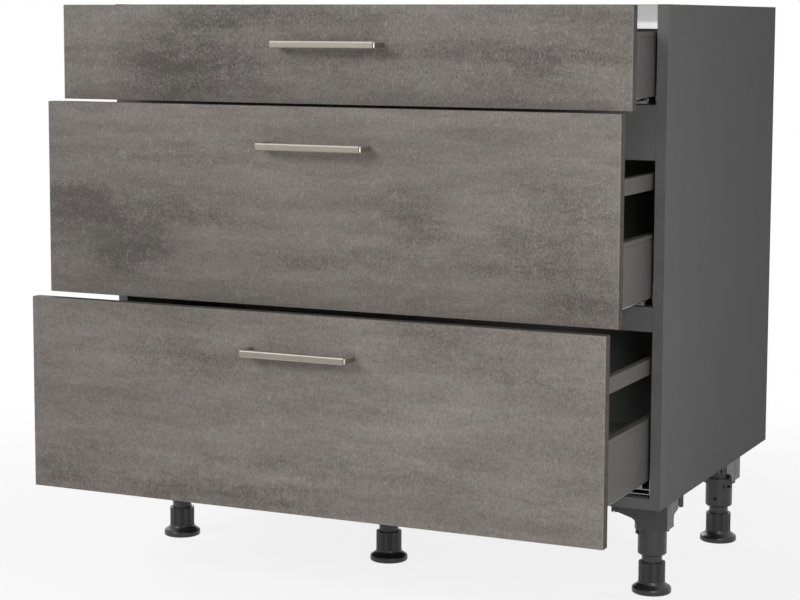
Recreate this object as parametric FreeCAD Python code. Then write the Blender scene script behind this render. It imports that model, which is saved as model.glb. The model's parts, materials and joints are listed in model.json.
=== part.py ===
import FreeCAD, Part
import math
import os

# Kitchen base cabinet with three drawers, shown with its drawers partly open. All sizes in millimetres.
# Building frame: X to the right, Y into the cabinet, Z up. X = 0 is the middle of the width, Y = 0 is
# the plane of the carcass's front edges and Z = 0 is the floor. Every piece is moved along Y when it is
# written, so that the origin ends up under the middle of the whole cabinet (see centre_y).

# ---- carcass ----
cabinet_width = 900.0
carcass_height = 715.0
carcass_depth = 568.0
board = 16.0                    # thickness of the carcass boards
foot_height = 150.0             # floor to the underside of the carcass
back_thickness = 3.0
back_groove_depth = 8.0
back_groove_play = 0.2          # the groove is this much wider than the back panel
back_inset = 16.0               # from the rear edges of the sides to the back panel
edge_round = 0.6                # softened edges of the boards

# ---- rails between the side panels ----
rear_rail_depth = 90.0
upper_cross_rail_height = 77.0
lower_cross_rail_height = 35.0
top_rail_face = 22.0            # upright face of the folded steel rail at the top front
top_rail_recess = 4.0           # how far that face stands behind the carcass's front edges
top_rail_lip_drop = 12.0        # height of the slanting lip below that face
top_rail_lip_back = 0.5         # the lip's lower edge, behind the carcass's front edges
top_rail_depth = 84.0           # flat top of the steel rail, for the worktop
top_rail_hem = 14.0             # the downturned rear edge of the steel rail
top_rail_tab = 24.0             # height of the fixing tabs at its ends
top_rail_screw_back = 59.0      # the tab's screw, behind the carcass's front edges
top_rail_screw_drop = 14.0
sheet = 1.2                     # steel sheet of rails and drawer sides

# ---- drawer fronts ----
front_thickness = 16.0
front_side_gap = 1.5            # each front ends this far inside the cabinet's width
front_top_gap = 2.0
front_gap = 2.0                 # between two fronts
front_bottom_overlap = 1.5      # the lowest front reaches this far below the carcass
top_front_height = 140.5
closed_gap = 1.0                # between a closed front and the carcass
openings = (130.0, 173.0, 221.0)  # how far each drawer stands open, top to bottom

# ---- drawer boxes ----
runner_length = 500.0
side_rise = (14.5, 17.5, 41.5)  # lower edge of the drawer sides above the lower edge of the front
side_height = 90.0
side_thickness = 13.0           # double-walled steel side
side_gap = 6.0                  # from a side panel to the drawer side's outer wall
side_flange = 11.0              # shelf on the inner wall that carries the drawer bottom
side_bead_drop = 8.5            # top of the drawer side to the groove below its bead
side_bead_groove = 0.8
side_top_bevel = 1.0
bottom_thickness = 16.0
bottom_play = 0.5
drawer_back_thickness = 16.0
low_back_height = 84.0
high_back_height = 180.0
gallery_height = 23.0
gallery_width = 10.0
gallery_centre = 164.5          # above the drawer side's lower edge
gallery_wall = 1.5
gallery_end_wall = 3.0          # closed front end of the gallery rail
gallery_round = 1.0

# ---- runners, measured from the side panel inwards and from the drawer side's lower edge upwards ----
rail_flange_top = 20.0
rail_web_drop = 11.5            # cabinet rail's web below the drawer side
rail_width = 42.0
rail_box_drop = 18.3            # underside of the cabinet rail's lower box section
rail_lip_drop = 2.5
rail_return = 6.0
rail_channel_start = 12.0
rail_front = 2.0                # the cabinet rail starts this far behind the carcass's front edges
cross_rail_clearance = 0.5      # between a cabinet rail and the cross rail under it
rail_play = 0.7                 # between one rail's sheet and the next, up and down
rail_side_play = 1.3
middle_head_drop = 9.0          # middle rail's head below the drawer side's shelf
neck_play = 4.0                 # middle rail's neck to the returns beside it
shelf_rise = 13.0               # drawer side's shelf above its lower edge
drawer_rail_skirt = 1.6         # the drawer rail shows this far below the drawer side
glide_length = 12.0
glide_start = 3.0               # behind the carcass's front edges
glide_play = 0.3
middle_rail_start = 14.0        # behind the drawer front's back face, when closed
middle_rail_rear = 16.0         # shorter than the runner by this much at its rear end
drawer_rail_overhang = 1.6      # the drawer rail is wider than the cabinet rail on its inner side
drawer_rail_end_gap = 2.0
rail_screw_rise = 12.0
rail_screw_front = 45.0         # first and second screw, behind the carcass's front edges
rail_screw_middle = 237.0
rail_screw_rear_inset = 41.0    # last screw, before the runner's rear end

# ---- handles ----
handle_hole_spacing = 160.0
handle_projection = 32.0
handle_bar_depth = 8.5
handle_bar_height = 10.0
handle_leg_width = 8.0
handle_corner_radius = 6.0
handle_inner_radius = 3.0
handle_bevel = 1.4
handle_drop = 56.0              # handle's centre below the top edge of its front
handle_thread_radius = 2.0
handle_thread_depth = 12.0
handle_screw_end_gap = 1.0      # left between the screw's end and the bottom of its hole
handle_hole_radius = 2.5
screw_head_radius = 4.2
screw_head_height = 2.4
screw_recess_radius = 5.0       # counterbore in the front's back face, for the handle screw's head
screw_recess_depth = 2.8
screw_play = 0.05

# ---- fixings ----
dowel_radius = 4.0
dowel_length = 30.0
dowel_in_side = 11.5            # how deep a dowel goes into a side panel
dowel_play = 0.05
dowel_inset = 60.0              # end dowels of the bottom board, from its front and rear edges
rail_dowel_inset = 22.0         # dowels of the top rear rail, from its edges
rail_screw_radius = 2.4
rail_screw_length = 13.0
rail_screw_head_radius = 3.6
rail_screw_head_height = 1.8
worktop_hole_radius = 2.5
worktop_hole_inset = 100.0      # from the cabinet's outer side
worktop_hole_behind_face = 40.0  # behind the steel rail's upright face
plug_radius = 4.0               # plugs of the front brackets, pressed into the drawer front
plug_length = 11.0
plug_rises = (30.0, 62.0)       # above the drawer side's lower edge
bracket_thickness = 2.0
bracket_tongue = 40.0
bracket_play = 0.3
bracket_low = 16.0              # bracket's lower edge above the drawer side's lower edge
bracket_top_gap = 14.0
gallery_plug_radius = 3.5
socket_screw_spots = ((-31.0, 14.0), (14.0, -31.0), (-18.6, -17.4))  # from the foot's axis
socket_screw_radius = 1.9
socket_screw_length = 14.0

# ---- feet ----
foot_inset_side = 46.5          # foot axis to the cabinet's outer side
foot_inset_front = 111.5
foot_inset_rear = 110.0
middle_foot_x = -27.5
long_wall_face = 25.8           # foot axis to the outer face of the socket's long wall
short_wall_face = 30.6          # foot axis to the outer face of its short wall
socket_reach = 57.5             # foot axis to the far ends of the socket's plate
socket_arm = 14.0               # width of the plate at those ends
socket_wall = 4.0
socket_depth = 49.5             # carcass underside to the lower edge of the walls at their corner
socket_plate = 4.0
long_wall_low = 14.8            # the long wall keeps its full depth as far past the foot axis
long_wall_shoulder = (25.5, 35.0)   # distance past the axis, and depth there
long_wall_tip = (47.0, 28.5)
short_wall_low = 8.0
short_wall_shoulder = (8.8, 31.2)
short_wall_tip = (27.6, 26.9)
shoulder_bulge = 0.145          # how deep the long wall's step curves, as a share of its chord
boss_radius = 5.8               # split bosses at the ends of the plate
boss_bore_radius = 3.4
boss_depth = 29.5               # carcass underside to the boss's lower end
boss_slot = 2.0
boss_slot_height = 9.0
sleeve_radius = 21.4
sleeve_bottom = 58.0            # height of the sleeve's lower end above the floor
sleeve_ring_radius = 26.4
sleeve_ring_depth = 44.5        # carcass underside to the ring's upper side
sleeve_ring_height = 8.5
sleeve_chamfer = 2.0
sleeve_hole_radius = 3.0
sleeve_hole_rise = 14.3         # the sleeve's side hole above its lower end
lug_direction = -38.0           # middle of a windowed lug under the ring; its twin is opposite
lug_width = 14.0
lug_height = 7.0
lug_window_width = 6.0
lug_window_height = 4.0
tube_radius = 15.1              # the leg tube in the sleeve
tube_wall = 3.2
tube_play = 0.05
tube_top_gap = 12.0             # from the carcass underside down to the leg tube
collar_radius = 19.8            # ribbed collar of the adjuster
collar_wall = 3.7
collar_top = 46.4
collar_bottom = 17.0
collar_rib_depth = 0.9
collar_rib_slots = 40           # every fourth slot has no rib
base_radius = 29.3
base_rim = 6.5                  # height of the base's upright rim
base_slope = ((0.7, 1.8), (2.2, 3.1), (6.5, 5.8), (8.7, 8.0))  # its flank: inwards and upwards from the rim
base_round = 1.4
stem_play = 0.4
stem_engaged = 30.0             # stem left inside the leg tube when it is screwed right out
foot_retract = 5.0              # how far the adjuster can be screwed in from here
foot_extend = 20.0              # how far it can be screwed out
tube_floor_gap = 2.0            # left under the leg tube when it is screwed right in

# ---- derived places ----
half_width = cabinet_width / 2
inside = half_width - board                      # inner face of a side panel
carcass_bottom = foot_height
carcass_top = carcass_bottom + carcass_height
back_front = carcass_depth - back_inset - back_thickness
worktop_hole_front = top_rail_recess + worktop_hole_behind_face
worktop_hole_rear = back_front - rear_rail_depth / 2
rail_screw_rear = rail_front + runner_length - rail_screw_rear_inset
rail_screw_places = (rail_screw_front, rail_screw_middle, rail_screw_rear)
handle_width = handle_hole_spacing + handle_leg_width
front_width = cabinet_width - 2 * front_side_gap
fronts_bottom = carcass_bottom - front_bottom_overlap
fronts_top = carcass_top - front_top_gap
lower_front_height = (fronts_top - fronts_bottom - top_front_height - 2 * front_gap) / 2
front_heights = (top_front_height, lower_front_height, lower_front_height)
front_tops = [fronts_top - sum(front_heights[:k]) - k * front_gap for k in range(3)]
front_bottoms = [front_tops[k] - front_heights[k] for k in range(3)]
side_bottoms = [front_bottoms[k] + side_rise[k] for k in range(3)]
back_heights = (low_back_height, high_back_height, high_back_height)
cross_rail_drop = rail_web_drop + cross_rail_clearance
cross_rail_tops = [side_bottoms[k] - cross_rail_drop for k in range(2)]
cross_rail_heights = (upper_cross_rail_height, lower_cross_rail_height)
handle_heights = [front_tops[k] - handle_drop for k in range(3)]
drawer_depth = runner_length - drawer_back_thickness     # inside depth of a drawer
foremost = -max(openings) - front_thickness - handle_projection
centre_y = (foremost + carcass_depth) / 2
rear_foot_y = carcass_depth - foot_inset_rear
foot_x = half_width - foot_inset_side
tube_bottom = collar_bottom + foot_retract + tube_floor_gap


def box(x0, x1, y0, y1, z0, z1):
    """A block between two opposite corners."""
    return Part.makeBox(x1 - x0, y1 - y0, z1 - z0, FreeCAD.Vector(x0, y0, z0))


def rod(radius, length, start, direction):
    return Part.makeCylinder(radius, length, FreeCAD.Vector(*start), FreeCAD.Vector(*direction))


def fused(shapes):
    whole = shapes[0]
    if len(shapes) > 1:
        whole = whole.fuse(shapes[1:])
    return whole.removeSplitter()


def prism(points, direction):
    """A straight-edged outline pushed along a direction."""
    outline = [FreeCAD.Vector(*point) for point in points]
    face = Part.Face(Part.makePolygon(outline + outline[:1]))
    return face.extrude(FreeCAD.Vector(*direction))


def turned(points):
    """A half outline of (radius, height) points turned about the Z axis."""
    outline = [FreeCAD.Vector(radius, 0, height) for radius, height in points]
    face = Part.Face(Part.makePolygon(outline + outline[:1]))
    return face.revolve(FreeCAD.Vector(0, 0, 0), FreeCAD.Vector(0, 0, 1), 360)


def mirrored(shape):
    return shape.mirror(FreeCAD.Vector(0, 0, 0), FreeCAD.Vector(1, 0, 0))


def softened(solid, radius):
    """A board with all its straight outer edges rounded."""
    return solid.makeFillet(radius, solid.Edges)


def moved(shape, x, y, z):
    copy = shape.copy()
    copy.translate(FreeCAD.Vector(x, y, z))
    return copy


def write(name, shapes):
    """Writes one sub-part, which may be a group of separate identical pieces."""
    solids = []
    for shape in shapes:
        solids.extend(shape.Solids)
    group = solids[0] if len(solids) == 1 else Part.makeCompound(solids)
    moved(group, 0, -centre_y, 0).exportStep("parts/" + name + ".step")


# ---- where the dowels and screws go; each place is on the inner face of the right side panel ----
def dowel_places():
    floor_ys = (dowel_inset, back_front / 2, back_front - dowel_inset)
    floor_board = [(y, carcass_bottom + board / 2) for y in floor_ys]
    rear_ys = (back_front - rear_rail_depth + rail_dowel_inset, back_front - rail_dowel_inset)
    rear_board = [(y, carcass_top - board / 2) for y in rear_ys]
    upper_zs = [cross_rail_tops[0] - upper_cross_rail_height * quarter / 4 for quarter in (1, 3)]
    upper_rail = [(board / 2, z) for z in upper_zs]
    lower_rail = [(board / 2, cross_rail_tops[1] - lower_cross_rail_height / 2)]
    return floor_board + rear_board + upper_rail + lower_rail


def dowel(place, play):
    y, z = place
    reach = dowel_length - dowel_in_side
    return rod(dowel_radius + play, dowel_length + 2 * play, (inside - reach - play, y, z), (1, 0, 0))


def dowel_holes():
    holes = [dowel(place, dowel_play) for place in dowel_places()]
    return holes + [mirrored(hole) for hole in holes]


def rail_screw_spots():
    """(y, z) of the screws that hold the cabinet rails and the steel top rail to a side panel."""
    spots = []
    for bottom in side_bottoms:
        spots.extend((y, bottom + rail_screw_rise) for y in rail_screw_places)
    spots.append((top_rail_screw_back, carcass_top - top_rail_screw_drop))
    return spots


def rail_screw(spot, play):
    """A screw driven outwards into the right side panel; its head lies on a sheet flange."""
    y, z = spot
    seat = inside - sheet
    shank = rod(rail_screw_radius + play, rail_screw_length + play, (seat, y, z), (1, 0, 0))
    head = rod(rail_screw_head_radius, rail_screw_head_height, (seat, y, z), (-1, 0, 0))
    return shank if play else fused([shank, head])


def rail_screw_holes():
    return [rail_screw(spot, screw_play) for spot in rail_screw_spots()]


# ---- carcass ----
def side_panel():
    """Right side panel with its groove for the back and its bores."""
    panel = box(inside, half_width, 0, carcass_depth, carcass_bottom, carcass_top)
    panel = softened(panel, edge_round)
    groove = box(inside - 1, inside + back_groove_depth, back_front - back_groove_play / 2,
                 back_front + back_thickness + back_groove_play / 2, carcass_bottom - 1, carcass_top + 1)
    return panel.cut([groove] + dowel_holes() + rail_screw_holes())


def bottom_board():
    plain = box(-inside, inside, 0, back_front, carcass_bottom, carcass_bottom + board)
    return plain.cut(dowel_holes() + [hole for foot in feet() for hole in socket_screw_holes(foot)])


def back_panel():
    reach = inside + back_groove_depth - back_groove_play
    return box(-reach, reach, back_front, back_front + back_thickness, carcass_bottom, carcass_top)


def cross_rail(k):
    top = cross_rail_tops[k]
    plain = box(-inside, inside, 0, board, top - cross_rail_heights[k], top)
    return plain.cut(dowel_holes())


def rear_rail():
    plain = box(-inside, inside, back_front - rear_rail_depth, back_front, carcass_top - board, carcass_top)
    holes = [rod(worktop_hole_radius, board + 2, (x, worktop_hole_rear, carcass_top - board - 1), (0, 0, 1))
             for x in worktop_hole_xs()]
    return plain.cut(dowel_holes() + holes)


def worktop_hole_xs():
    reach = half_width - worktop_hole_inset
    return (-reach, reach)


def top_rail():
    """Folded steel rail: flat top, upright face, slanting lip below it, hem at the rear, tabs at the ends."""
    face_front = top_rail_recess
    face_bottom = carcass_top - top_rail_face
    lip_bottom = face_bottom - top_rail_lip_drop
    rear = face_front + top_rail_depth
    outline = [(face_front, carcass_top), (face_front, face_bottom), (top_rail_lip_back, lip_bottom),
               (top_rail_lip_back + sheet, lip_bottom), (face_front + sheet, face_bottom),
               (face_front + sheet, carcass_top - sheet), (rear - sheet, carcass_top - sheet),
               (rear - sheet, carcass_top - top_rail_hem), (rear, carcass_top - top_rail_hem),
               (rear, carcass_top)]
    span = [(-inside, y, z) for y, z in outline]
    profile = prism(span, (2 * inside, 0, 0))
    tab = box(inside - sheet, inside, face_front + sheet, rear - sheet, carcass_top - top_rail_tab,
              carcass_top)
    rail = fused([profile, tab, mirrored(tab)])
    holes = [rod(worktop_hole_radius, 3 * sheet, (x, worktop_hole_front, carcass_top - 2 * sheet), (0, 0, 1))
             for x in worktop_hole_xs()]
    screws = rail_screw_holes()
    return rail.cut(holes + screws + [mirrored(hole) for hole in screws])


# ---- feet ----
def feet():
    """(x, y, turn) of the six feet: turn is the angle that brings the socket's corner outwards."""
    corners = [(foot_x, foot_inset_front, -90), (-foot_x, foot_inset_front, 180),
               (foot_x, rear_foot_y, 0), (-foot_x, rear_foot_y, 90)]
    middle = [(middle_foot_x, foot_inset_front, 180), (middle_foot_x, rear_foot_y, 90)]
    return corners + middle


foot_names = ("front_right", "front_left", "rear_right", "rear_left", "front_middle", "rear_middle")


def placed(shape, foot):
    """A foot's piece, made about the foot's own axis, turned and moved to its place."""
    x, y, turn = foot
    copy = shape.copy()
    copy.rotate(FreeCAD.Vector(0, 0, 0), FreeCAD.Vector(0, 0, 1), turn)
    return moved(copy, x, y, 0)


def socket_screw(spot, play):
    x, y = spot
    under = carcass_bottom - socket_plate
    shank = rod(socket_screw_radius + play, socket_screw_length + play, (x, y, under), (0, 0, 1))
    head = rod(rail_screw_head_radius, rail_screw_head_height, (x, y, under), (0, 0, -1))
    return shank if play else fused([shank, head])


def socket_screw_holes(foot):
    return [placed(socket_screw(spot, screw_play), foot) for spot in socket_screw_spots]


def socket_side(face, corner, low, shoulder, tip, bulge):
    """A wall of the socket with its outer face at X = face, stepped up towards its tip."""
    def point(along, depth):
        return FreeCAD.Vector(face - socket_wall, along, carcass_bottom - depth)
    start, bottom = point(corner, 0), point(corner, socket_depth)
    low_end, high = point(-low, socket_depth), point(-shoulder[0], shoulder[1])
    wing_end, tip_top = point(-tip[0], tip[1]), point(-tip[0], 0)
    chord = high.sub(low_end)
    inwards = FreeCAD.Vector(0, chord.z, -chord.y).multiply(bulge)
    middle = low_end.add(high).multiply(0.5).add(inwards)
    step = Part.Arc(low_end, middle, high).toShape()
    edges = [Part.makeLine(start, bottom), Part.makeLine(bottom, low_end), step,
             Part.makeLine(high, wing_end), Part.makeLine(wing_end, tip_top), Part.makeLine(tip_top, start)]
    return Part.Face(Part.Wire(edges)).extrude(FreeCAD.Vector(socket_wall, 0, 0))


def crossed(shape):
    """The shape with X and Y exchanged."""
    return shape.mirror(FreeCAD.Vector(0, 0, 0), FreeCAD.Vector(1, -1, 0))


def split_boss(x, y):
    """A slotted hollow boss that hangs from the end of the socket's plate."""
    low = carcass_bottom - boss_depth
    post = rod(boss_radius, boss_depth, (x, y, low), (0, 0, 1))
    bore = rod(boss_bore_radius, boss_depth - socket_plate, (x, y, low), (0, 0, 1))
    slot_top = low + boss_slot_height
    slots = [box(x - boss_radius, x + boss_radius, y - boss_slot / 2, y + boss_slot / 2, low, slot_top),
             box(x - boss_slot / 2, x + boss_slot / 2, y - boss_radius, y + boss_radius, low, slot_top)]
    return post.cut([bore] + slots)


def windowed_lug(direction):
    """A lug under the sleeve's ring with a window in it."""
    high = carcass_bottom - sleeve_ring_depth - sleeve_ring_height
    middle = high - lug_height / 2
    block = box(0, sleeve_ring_radius, -lug_width / 2, lug_width / 2, high - lug_height, high)
    lug = block.common(rod(sleeve_ring_radius, lug_height, (0, 0, high - lug_height), (0, 0, 1)))
    window = box(tube_radius, 2 * sleeve_ring_radius, -lug_window_width / 2, lug_window_width / 2,
                 middle - lug_window_height / 2, middle + lug_window_height / 2)
    for shape in (lug, window):
        shape.rotate(FreeCAD.Vector(0, 0, 0), FreeCAD.Vector(0, 0, 1), direction)
    return lug, window


def socket_plate_shape():
    """Flat plate under the carcass: a square corner with two arms and a slanting inner side."""
    low = carcass_bottom - socket_plate
    outline = [(long_wall_face, short_wall_face), (-socket_reach, short_wall_face),
               (-socket_reach, short_wall_face - socket_arm), (long_wall_face - socket_arm, -socket_reach),
               (long_wall_face, -socket_reach)]
    return prism([(x, y, low) for x, y in outline], (0, 0, socket_plate))


def foot_socket():
    """Moulded socket: plate under the carcass, two stepped walls at its corner and the leg's sleeve."""
    long_side = socket_side(long_wall_face, short_wall_face, long_wall_low, long_wall_shoulder,
                            long_wall_tip, shoulder_bulge)
    short_side = crossed(socket_side(short_wall_face, long_wall_face, short_wall_low, short_wall_shoulder,
                                     short_wall_tip, shoulder_bulge))
    bosses = [split_boss(long_wall_face - boss_radius, boss_radius - socket_reach),
              split_boss(boss_radius - socket_reach, short_wall_face - boss_radius)]
    ring_high = carcass_bottom - sleeve_ring_depth
    ring_low = ring_high - sleeve_ring_height
    plate_low = carcass_bottom - socket_plate
    sleeve = turned([(0, sleeve_bottom), (sleeve_radius - sleeve_chamfer, sleeve_bottom),
                     (sleeve_radius, sleeve_bottom + sleeve_chamfer), (sleeve_radius, ring_low),
                     (sleeve_ring_radius, ring_low), (sleeve_ring_radius, ring_high),
                     (sleeve_radius, ring_high), (sleeve_radius, plate_low), (0, plate_low)])
    low = carcass_bottom - socket_depth
    web = box(0, long_wall_face - socket_wall, -socket_wall / 2, socket_wall / 2, low, plate_low)
    short_web = box(-socket_wall / 2, socket_wall / 2, 0, short_wall_face - socket_wall, low, plate_low)
    lugs = [windowed_lug(direction) for direction in (lug_direction, lug_direction + 180)]
    body = fused([socket_plate_shape(), long_side, short_side, sleeve, web, short_web] + bosses
                 + [lug for lug, window in lugs])
    bore = rod(tube_radius + tube_play, carcass_bottom - tube_top_gap - sleeve_bottom + 1.0,
               (0, 0, sleeve_bottom - 1.0), (0, 0, 1))
    hole_height = sleeve_bottom + sleeve_hole_rise
    side_hole = rod(sleeve_hole_radius, sleeve_radius, (0, 0, hole_height), (0, -1, 0))
    screws = [socket_screw(spot, screw_play) for spot in socket_screw_spots]
    return body.cut([bore, side_hole] + screws + [window for lug, window in lugs])


def leg_tube():
    """Tube that hangs in the sleeve and carries the thread of the adjuster."""
    length = carcass_bottom - tube_top_gap - tube_play - tube_bottom
    outer = rod(tube_radius, length, (0, 0, tube_bottom), (0, 0, 1))
    inner = rod(tube_radius - tube_wall, length + 2.0, (0, 0, tube_bottom - 1.0), (0, 0, 1))
    return outer.cut(inner)


def ribbed_collar():
    """Grip collar: every fourth rib is left out, so the ribs stand in groups of three."""
    points = []
    for slot in range(collar_rib_slots):
        rib = slot % 4 != 3
        for share in (0.0, 0.2, 0.6, 0.8):
            angle = 2 * math.pi * (slot + share) / collar_rib_slots
            raised = rib and share in (0.2, 0.6)
            radius = collar_radius if raised else collar_radius - collar_rib_depth
            points.append((radius * math.cos(angle), radius * math.sin(angle), collar_bottom))
    return prism(points, (0, 0, collar_top - collar_bottom))


def foot_adjuster():
    """Base, ribbed collar and stem in one piece; it screws in and out of the leg tube."""
    stem_radius = tube_radius - tube_wall - stem_play
    flank = [(base_radius - inwards, base_rim + up) for inwards, up in base_slope]
    base = turned([(0, 0), (base_radius - base_round, 0), (base_radius, base_round), (base_radius, base_rim)]
                  + flank + [(collar_radius, collar_bottom + 1.0), (0, collar_bottom + 1.0)])
    cup = rod(collar_radius - collar_wall, collar_top - collar_bottom, (0, 0, collar_bottom), (0, 0, 1))
    stem_top = tube_bottom + foot_extend + stem_engaged
    stem = rod(stem_radius, stem_top - collar_bottom, (0, 0, collar_bottom), (0, 0, 1))
    return fused([base.fuse(ribbed_collar()).cut(cup), stem])


# ---- runners ----
def along_runner(strips, y0, length, bottom):
    """Sheet strips (inward from, inward to, up from, up to) run along Y beside the right side panel."""
    pieces = [box(inside - far, inside - near, y0, y0 + length, bottom + low, bottom + high)
              for near, far, low, high in strips]
    return fused(pieces)


def cabinet_rail(k):
    """Zinc-plated rail on the side panel: flange, web with a channel, and a box section under the web."""
    web_top = sheet - rail_web_drop
    lip_top = -rail_lip_drop
    start = rail_channel_start
    upper = [(0, sheet, -rail_web_drop, rail_flange_top), (0, rail_width, -rail_web_drop, web_top),
             (rail_width - sheet, rail_width, -rail_web_drop, lip_top),
             (rail_width - rail_return, rail_width, lip_top - sheet, lip_top),
             (start, start + sheet, -rail_web_drop, lip_top),
             (start, start + rail_return, lip_top - sheet, lip_top)]
    lower = [(0, rail_width, -rail_box_drop, sheet - rail_box_drop), (0, sheet, -rail_box_drop, web_top),
             (rail_width - sheet, rail_width, -rail_box_drop, web_top)]
    lower_start = rail_front if k == 2 else board + rail_front
    top = along_runner(upper, rail_front, runner_length, side_bottoms[k])
    under = along_runner(lower, lower_start, runner_length + rail_front - lower_start, side_bottoms[k])
    return fused([top, under]).cut(rail_screw_holes())


def rail_glide(k):
    """Nylon guide in the front end of the cabinet rail's channel, under the middle rail."""
    near = rail_channel_start + sheet
    low = sheet - rail_web_drop
    high = middle_foot_bottom() - glide_play
    strips = [(near, rail_width - sheet, low, high)]
    return along_runner(strips, glide_start, glide_length, side_bottoms[k])


def middle_foot_bottom():
    return -rail_lip_drop - 2 * sheet - rail_play


def middle_rail(k):
    """The rail between: its foot is held in the cabinet rail, its head in the drawer rail."""
    near = rail_channel_start + sheet + rail_side_play
    far = rail_width - sheet - rail_side_play
    foot_low = middle_foot_bottom()
    head_low = shelf_rise - middle_head_drop
    neck_near = rail_channel_start + rail_return + neck_play
    neck_far = rail_width - rail_return - neck_play
    strips = [(near, far, foot_low, foot_low + sheet), (neck_near, neck_near + sheet, foot_low, head_low),
              (neck_far - sheet, neck_far, foot_low, head_low), (near, far, head_low, head_low + sheet)]
    y0 = middle_rail_start + closed_gap - openings[k] / 2
    length = runner_length - middle_rail_start - middle_rail_rear
    return along_runner(strips, y0, length, side_bottoms[k])


def drawer_rail(k):
    """The rail under the drawer side's shelf, open downwards around the middle rail's head."""
    near = side_gap + sheet + bracket_play
    far = rail_width + drawer_rail_overhang
    top = shelf_rise
    hook_top = shelf_rise - middle_head_drop - 2 * rail_play
    strips = [(near, far, top - sheet, top), (near, near + sheet, -drawer_rail_skirt, top),
              (far - sheet, far, -drawer_rail_skirt, top),
              (near, rail_channel_start + rail_return, hook_top - sheet, hook_top),
              (rail_width - rail_return, far, hook_top - sheet, hook_top)]
    start = bracket_tongue + drawer_rail_end_gap
    length = runner_length - drawer_rail_end_gap - start
    return along_runner(strips, drawer_y(k) + start, length, side_bottoms[k])


# ---- drawers ----
def drawer_y(k):
    """Back face of the drawer's front, which all of the drawer is measured from."""
    return -openings[k]


def drawer_side(k):
    """Right drawer side: two sheet walls joined at the top, open below, with a shelf on the inner wall."""
    outer = side_gap
    inner = side_gap + side_thickness
    top = side_height
    groove = side_bead_groove
    bead = top - side_bead_drop
    bevel = side_top_bevel
    outline = [(outer, 0), (outer, bead), (outer + groove, bead + groove),
               (outer + groove, bead + 3 * groove), (outer, bead + 4 * groove), (outer, top - bevel),
               (outer + bevel, top), (inner - bevel, top), (inner, top - bevel),
               (inner, shelf_rise + sheet), (inner + side_flange, shelf_rise + sheet),
               (inner + side_flange, shelf_rise), (inner - sheet, shelf_rise), (inner - sheet, top - sheet),
               (outer + sheet + groove, top - sheet), (outer + sheet + groove, bead),
               (outer + sheet, bead - groove), (outer + sheet, 0)]
    points = [(inside - inward, drawer_y(k), side_bottoms[k] + up) for inward, up in outline]
    return prism(points, (0, runner_length, 0))


def bracket_plug_spots(k):
    """(x, z) of the plugs that hold the right front bracket in the drawer's front."""
    x = inside - side_gap - side_thickness / 2
    return [(x, side_bottoms[k] + rise) for rise in plug_rises]


def front_bracket(k):
    """Bracket inside the front end of the right drawer side, plugged into the front."""
    near = side_gap + sheet + bracket_play
    far = side_gap + side_thickness - sheet - bracket_play
    low = side_bottoms[k] + bracket_low
    high = side_bottoms[k] + side_height - bracket_top_gap
    y = drawer_y(k)
    plate = box(inside - far, inside - near, y, y + bracket_thickness, low, high)
    tongue = box(inside - near - bracket_thickness, inside - near, y, y + bracket_tongue, low, high)
    plugs = [rod(plug_radius, plug_length + bracket_thickness, (x, y - plug_length, z), (0, 1, 0))
             for x, z in bracket_plug_spots(k)]
    return fused([plate, tongue] + plugs)


def gallery_rail(k):
    """Rectangular tube beside the drawer's contents, above the right drawer side."""
    x1 = inside - side_gap
    x0 = x1 - gallery_width
    y = drawer_y(k)
    mid = side_bottoms[k] + gallery_centre
    low = mid - gallery_height / 2
    high = mid + gallery_height / 2
    tube = box(x0, x1, y, y + drawer_depth, low, high)
    lengthwise = [edge for edge in tube.Edges if abs(edge.tangentAt(0).y) > 0.9]
    tube = tube.makeFillet(gallery_round, lengthwise)
    hollow = box(x0 + gallery_wall, x1 - gallery_wall, y + gallery_end_wall, y + drawer_depth + 1,
                 low + gallery_wall, high - gallery_wall)
    plug = rod(gallery_plug_radius, plug_length + 1, ((x0 + x1) / 2, y - plug_length, mid), (0, 1, 0))
    return fused([tube.cut(hollow), plug])


def drawer_front(k):
    """Front panel with its holes for the handle, the front brackets and the gallery rails."""
    back = drawer_y(k)
    half = front_width / 2
    panel = box(-half, half, back - front_thickness, back, front_bottoms[k], front_tops[k])
    panel = softened(panel, edge_round)
    holes = [rod(handle_hole_radius, front_thickness + 2, (x, back - front_thickness - 1, handle_heights[k]),
                 (0, 1, 0)) for x in handle_screw_xs()]
    plugs = [rod(plug_radius + dowel_play, plug_length + dowel_play, (x, back, z), (0, -1, 0))
             for x, z in bracket_plug_spots(k)]
    if k > 0:
        mid = side_bottoms[k] + gallery_centre
        x = inside - side_gap - gallery_width / 2
        radius = gallery_plug_radius + dowel_play
        plugs.append(rod(radius, plug_length + dowel_play, (x, back, mid), (0, -1, 0)))
    recesses = [rod(screw_recess_radius, screw_recess_depth, (x, back, handle_heights[k]), (0, -1, 0))
                for x in handle_screw_xs()]
    return panel.cut(holes + recesses + plugs + [mirrored(hole) for hole in plugs])


def drawer_bottom(k):
    reach = inside - side_gap - side_thickness - bottom_play
    low = side_bottoms[k] + shelf_rise + sheet
    y = drawer_y(k)
    return box(-reach, reach, y, y + drawer_depth, low, low + bottom_thickness)


def drawer_back(k):
    """Back of the drawer; above the sides it is wider, so that the gallery rails meet it."""
    reach = inside - side_gap - side_thickness - bottom_play
    low = side_bottoms[k] + shelf_rise + sheet
    high = side_bottoms[k] + back_heights[k]
    y0 = drawer_y(k) + drawer_depth
    y1 = drawer_y(k) + runner_length
    back = box(-reach, reach, y0, y1, low, high)
    if back_heights[k] > side_height:
        wide = inside - side_gap
        back = fused([back, box(-wide, wide, y0, y1, side_bottoms[k] + side_height + bottom_play, high)])
    return back


# ---- handles ----
def handle_screw_xs():
    return (-handle_hole_spacing / 2, handle_hole_spacing / 2)


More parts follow.
